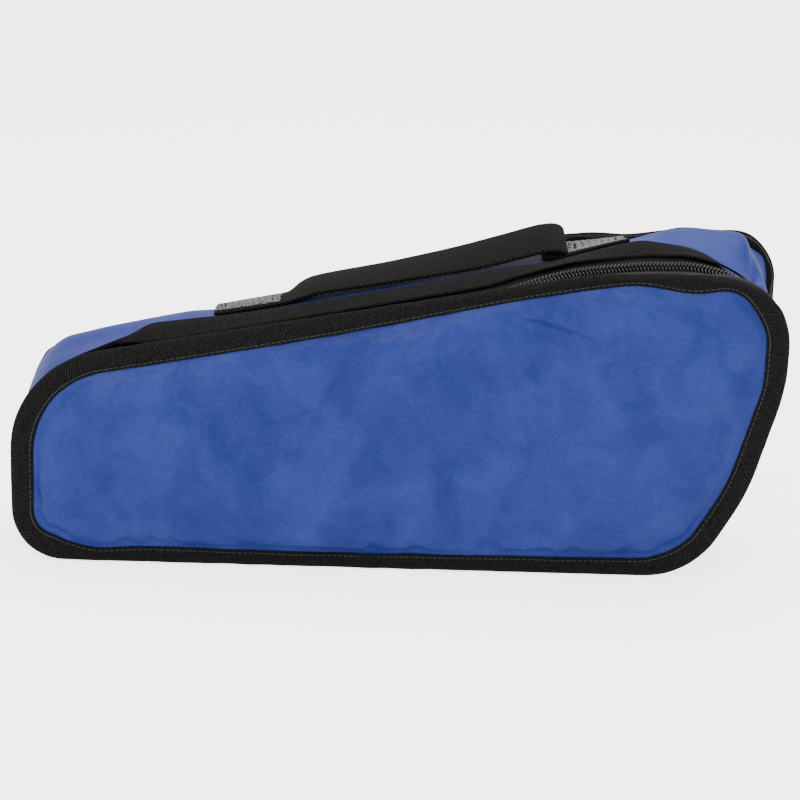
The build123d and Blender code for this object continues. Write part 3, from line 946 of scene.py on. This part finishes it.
OFF_WALL = Vector((-math.sin(SLOPE), 0, math.cos(SLOPE)))


def rounded_off(points, times=3):
    """A path with its corners cut again and again, which leaves its two ends where they are."""
    for _ in range(times):
        cut = [points[0]]
        for a, b in zip(points, points[1:]):
            cut += [a.lerp(b, 0.25), a.lerp(b, 0.75)]
        points = cut + [points[-1]]
    return points


def webbing_section():
    """The webbing cut across: a flat band with rounded selvedges."""
    flat = [(t / 8 * 2 - 1) * (WEBBING_HALF - SELVEDGE[0]) for t in range(9)]
    edge, thin, half = WEBBING_HALF - SELVEDGE[1], SELVEDGE[2], WEBBING_THICK / 2
    return ([(-edge, thin)] + [(y, half) for y in flat] + [(edge, thin), (edge, -thin)]
            + [(y, -half) for y in reversed(flat)] + [(-edge, -thin)])


def on_wall(x, y, height, sewn):
    """A point over the wall's top. Where the webbing is sewn down it follows the settled wall."""
    lying = wall_height(x, y) * sewn
    over = height + lying
    point = Vector((x - over * math.sin(SLOPE), y, top_z(x) + over * math.cos(SLOPE)))
    return point.lerp(slump(point), sewn)


def sewn_at(x, height):
    """1 where the webbing is sewn down, 0 where it is free."""
    down = 1 - smooth(*LEFT_LETS_GO, x) if x < 0 else smooth(*RIGHT_IS_HELD, x)
    return down * (1 - smooth(0.002, 0.007, height))


def webbing(name, path, first_u):
    """Half of the handle. Between its sewn ends its edges sag, the front one more."""
    route = rounded_off([Vector(p) for p in path])
    rows = []
    for i, here in enumerate(route):
        way = (route[min(i + 1, len(route) - 1)] - route[max(i - 1, 0)]).normalized()
        up = Vector((-way.y, way.x))
        row = []
        for across, off in webbing_section():
            sewn = sewn_at(here.x, here.y)
            at = here + up * off
            sag = 0.0012 * (across / WEBBING_HALF) ** 2
            sag += run(WEBBING_TILT, here.x) * (WEBBING_HALF - across) / (2 * WEBBING_HALF)
            sag *= (1 - sewn) * smooth(0.001, 0.006, here.y)
            row.append(on_wall(at.x, WEBBING_Y + across, at.y - sag, sewn))
        rows.append(row)
    piece = loft(name, rows, closed_rows=False, first_u=first_u)
    refine(piece)
    return piece


# yarns that cross one over one, with a little fuzz, as relief and as a tone paler where they cross: painted
# glints, partly the webbing's own brownish flecks
basket = group_of("basket_weave_and_glints", ("Pitch",), ("Height", "Tone"))
basket_in = add(basket, "NodeGroupInput")
basket_spot = add(basket, "ShaderNodeUVMap", uv_map="cloth").outputs[0]
basket_at = add(basket, "ShaderNodeSeparateXYZ", {0: basket_spot})
warp, weft = (ribs(basket, maths(basket, "DIVIDE", basket_at.outputs[k], basket_in.outputs["Pitch"]))
              for k in (0, 1))
cross = maths(basket, "MULTIPLY_ADD", maths(basket, "MULTIPLY", warp, weft), 0.5, 0.5)
fuzz = add(basket, "ShaderNodeTexNoise", {"Vector": basket_spot, "Scale": 900, "Detail": 2}).outputs["Fac"]
add(basket, "NodeGroupOutput", {
    "Height": maths(basket, "MULTIPLY_ADD", fuzz, 0.3, cross),
    "Tone": maths(basket, "MULTIPLY", cross, maths(basket, "ADD", fuzz, 0.45))})
# its pale brownish end is painted glints on the raised yarns, partly the webbing's own brownish flecks
black_webbing = woven("black_webbing", basket, (0.0008, 0.0007, 0.0006), (0.013, 0.011, 0.010), 0.75, 0.0031,
                      0.0010, shade=0.42, Specular_IOR_Level=0.08)
left_route = rounded_off([Vector(p) for p in LEFT_PATH])
left_long = sum((b - a).length for a, b in zip(left_route, left_route[1:]))
handle_left = webbing("handle_left", LEFT_PATH, 0)
handle_right = webbing("handle_right", RIGHT_PATH, left_long / math.cos(SLOPE))
for half, end in ((handle_left, "handle_left_end"), (handle_right, "handle_right_end")):
    half.data.materials.append(black_webbing)
    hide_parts(end, "handle_strap")
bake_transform(handle_left)
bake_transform(handle_right)


# Stitching. Grey thread through both sewn ends of the handle, worked over many times, and
# one row of black thread close to the inner edge of each binding.
THREAD_UP = 0.0023
THREAD_IN = 0.0019          # how far the binding's row lies from the tape's sewn edge
STITCH_PITCH = 0.0034
STITCH_STRAY = 0.0006
PASS_GAP = 0.0014
PASSES = 3                  # rows along each side of a sewn end
TURNS = 13                  # runs to and fro inside them
LEFT_BOX = (-0.0970, -0.0640)
RIGHT_BOX = (0.0895, 0.1190)
BOX_HALF = 0.0150
thread = group_of("thread_twist", (), ("Tone",))
thread_spot = add(thread, "ShaderNodeTexCoord").outputs["Object"]
thread_wave = add(thread, "ShaderNodeTexWave", {"Vector": thread_spot, "Scale": 620, "Distortion": 1.5})
add(thread, "NodeGroupOutput", {"Tone": thread_wave.outputs["Fac"]})


def spun(name, dark, pale):
    """Twisted thread."""
    material, tree, skin = finish_named(name, pale, 0.6, Sheen_Weight=0.2)
    twist = add(tree, "ShaderNodeGroup", node_tree=thread)
    tinted(tree, skin, twist.outputs["Tone"], (0, dark), (1, pale))
    embossed(tree, skin, twist.outputs["Tone"], 0.0001, 0.6)
    return material


grey_thread = spun("grey_thread", (0.030, 0.030, 0.029), (0.100, 0.100, 0.096))
black_thread = spun("black_thread", (0.003, 0.003, 0.003), (0.014, 0.014, 0.013))
stitch = template("stitch", 0.0032, 0.0013, 0.0008, 0.0003)
fine_stitch = template("fine_stitch", 0.0022, 0.0006, 0.0005, 0.0002)


def sewn_line(start, end, rng):
    """Stitches along a line on a sewn end of the handle, given by (x, y) points."""
    start, end = Vector(start), Vector(end)
    count = max(1, round((end - start).length / STITCH_PITCH))
    spots = []
    for k in range(count):
        a = start.lerp(end, k / count)
        b = start.lerp(end, (k + 1) / count)
        shift = Vector([rng.uniform(-STITCH_STRAY, STITCH_STRAY) for _ in range(2)])
        ends = [on_wall(p.x, p.y, THREAD_UP, 1) for p in (a + shift, b + shift)]
        spots.append(placed((ends[0] + ends[1]) / 2, ends[1] - ends[0], OFF_WALL))
    return spots


def sewn_end(name, box, rng):
    """A box of stitching: passes along its four sides, and runs to and fro across it."""
    x0, x1 = box
    low, high = WEBBING_Y - BOX_HALF, WEBBING_Y + BOX_HALF
    spots = []
    for k in range(PASSES):
        gap = PASS_GAP * k
        corners = [(x0 + gap, low + gap), (x1 - gap, low + gap), (x1 - gap, high - gap),
                   (x0 + gap, high - gap)]
        for a, b in zip(corners, corners[1:] + corners[:1]):
            spots += sewn_line(a, b, rng)
    inner = PASS_GAP * PASSES
    for k in range(TURNS):
        a = low + inner + (high - low - 2 * inner) * k / TURNS
        b = low + inner + (high - low - 2 * inner) * (k + 1) / TURNS
        spots += sewn_line((x0 + inner, a), (x1 - inner, (a + b) / 2), rng)
        spots += sewn_line((x1 - inner, (a + b) / 2), (x0 + inner, b), rng)
    piece = row_of(name, stitch, spots)
    piece.data.materials.append(grey_thread)
    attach(piece, "case")
    return piece


rng = random.Random(11)
left_sewing = sewn_end("handle_left_thread", LEFT_BOX, rng)
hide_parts("handle_left_stitching")
right_sewing = sewn_end("handle_right_thread", RIGHT_BOX, rng)
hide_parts("handle_right_stitching")

for name, outline, widths, side, body, settle in (
        ("front_binding_thread", front_outline, front_widths, -1, "front", as_sewn),
        ("rear_binding_thread", rear_outline, rear_widths, 1, "case", slump)):
    spots = []
    for k in range(len(outline)):
        ends = []
        for p, out, w in ((*outline[k - 1], widths[k - 1]), (*outline[k], widths[k])):
            q = p - out * (w - THREAD_IN)
            ends.append(settle(Vector((q.x, side * (BINDING_FACE + 0.0001), q.y))))
        spots.append(placed((ends[0] + ends[1]) / 2, ends[1] - ends[0], Vector((0, side, 0))))
    sewing = row_of(name, fine_stitch, spots)
    sewing.data.materials.append(black_thread)
    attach(sewing, body)


# Slider. A painted die-cast body that runs on the coil, a bail over its top plate, and a
# flat pull with a slot at each end. It is parked at the narrow end, under the edge strip.
slider_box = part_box("slider_body")


def on_slider(x, y, z):
    """A point given in the slider's own frame: along the coil, across it, and off it."""
    middle = (Vector(slider_box[0]) + Vector(slider_box[1])) / 2
    return middle + Matrix.Rotation(-SLOPE, 3, "Y") @ Vector((x, y, z))


def cast(name, solids, holes=(), soften=0.0003):
    """Boxes given by two corners each, joined, cut by other boxes, and with their edges eased."""
    made = []
    for low, high in list(solids) + list(holes):
        bpy.ops.object.select_all(action="DESELECT")
        bpy.ops.mesh.primitive_cube_add(size=1)
        block = bpy.context.object
        for v in block.data.vertices:
            v.co = [a + (b - a) * (c + 0.5) for a, b, c in zip(low, high, v.co)]
        made.append(block)
    piece = made[0]
    piece.name = piece.data.name = name
    activate(piece)
    for other in made[1:]:
        join = piece.modifiers.new("join", "BOOLEAN")
        join.operation = "UNION" if made.index(other) < len(solids) else "DIFFERENCE"
        join.object = other
        join.solver = "EXACT"
        bpy.ops.object.modifier_apply(modifier=join.name)
        bpy.data.objects.remove(other)
    ease = piece.modifiers.new("ease", "BEVEL")
    ease.width = soften
    ease.segments = 2
    bpy.ops.object.modifier_apply(modifier=ease.name)
    for v in piece.data.vertices:
        v.co = on_slider(*v.co)
    bpy.ops.object.shade_smooth_by_angle(angle=math.radians(30))
    return piece


slider_metal, metal_tree, metal_skin = finish_named("slider_metal", (0.012, 0.012, 0.012), 0.35, Metallic=0.4,
                                                    Coat_Weight=0.3)
rub = add(metal_tree, "ShaderNodeTexNoise", {
    "Vector": add(metal_tree, "ShaderNodeTexCoord").outputs["Object"], "Scale": 520, "Detail": 4})
tinted(metal_tree, metal_skin, rub.outputs["Fac"], (0.55, (0.010, 0.010, 0.010)), (0.75, (0.06, 0.06, 0.058)))

plates = [((-0.0050, -0.0036, 0.0011), (0.0050, 0.0036, 0.0021)),
          ((-0.0050, -0.0036, -0.0021), (0.0050, 0.0036, -0.0011))]
wedge = [((0.0005, -0.0005, -0.0015), (0.0035, 0.0005, 0.0015))]
rails = [((-0.0045, y, z), (0.0050, y + 0.0007, z + 0.0011))
         for z in (0.0007, -0.0018) for y in (-0.0040, 0.0033)]
body_shell = cast("slider_casting", plates + wedge + rails, soften=0.0002)
bail_loop = cast("slider_bail_loop", [((-0.0035, -0.0011, 0.0020), (0.0035, 0.0011, 0.0047))],
                 [((-0.0024, -0.0020, 0.0021), (0.0024, 0.0020, 0.0038))])
pull_tab = cast("slider_pull_tab", [((-0.0005, -0.0025, 0.0025), (0.0235, 0.0025, 0.0035))],
                [((0.0005, -0.0015, 0), (0.0048, 0.0015, 0.009)),
                 ((0.0175, -0.0012, 0), (0.0215, 0.0012, 0.009))])
for piece, node, body in ((body_shell, "slider_body", "slider"), (bail_loop, "slider_bail", "slider"),
                          (pull_tab, "slider_pull", "pull")):
    piece.data.materials.append(slider_metal)
    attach(piece, body)
    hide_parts(node)


# Panel linings. Thin dark nylon behind each panel's foam, sewn in with the bindings. The
# back one has settled with its panel, and the front one lies as it was cut.
LINING_INSET = 0.0012
LINING_Y = (0.0381, 0.0386)
LINING_STEP = 0.010
flat, faces, _, _ = flat_cut(rim("rear_binding", 0.006), LINING_INSET, LINING_STEP)
back_lining = piece_from("back_lining", [slump(Vector((p.x, LINING_Y[0], p.y))) for p in flat], faces)
outwards(back_lining.data)
if back_lining.data.polygons[0].normal.y > 0:
    back_lining.data.flip_normals()
activate(back_lining)
thicken = back_lining.modifiers.new("thicken", "SOLIDIFY")
thicken.thickness = LINING_Y[1] - LINING_Y[0]
bpy.ops.object.modifier_apply(modifier=thicken.name)
refine(back_lining, 0)
back_lining.data.materials.append(dark_lining)
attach(back_lining, "case")
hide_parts("back_panel_lining")
nodes["front_panel_lining"].data.materials.clear()
nodes["front_panel_lining"].data.materials.append(dark_lining)
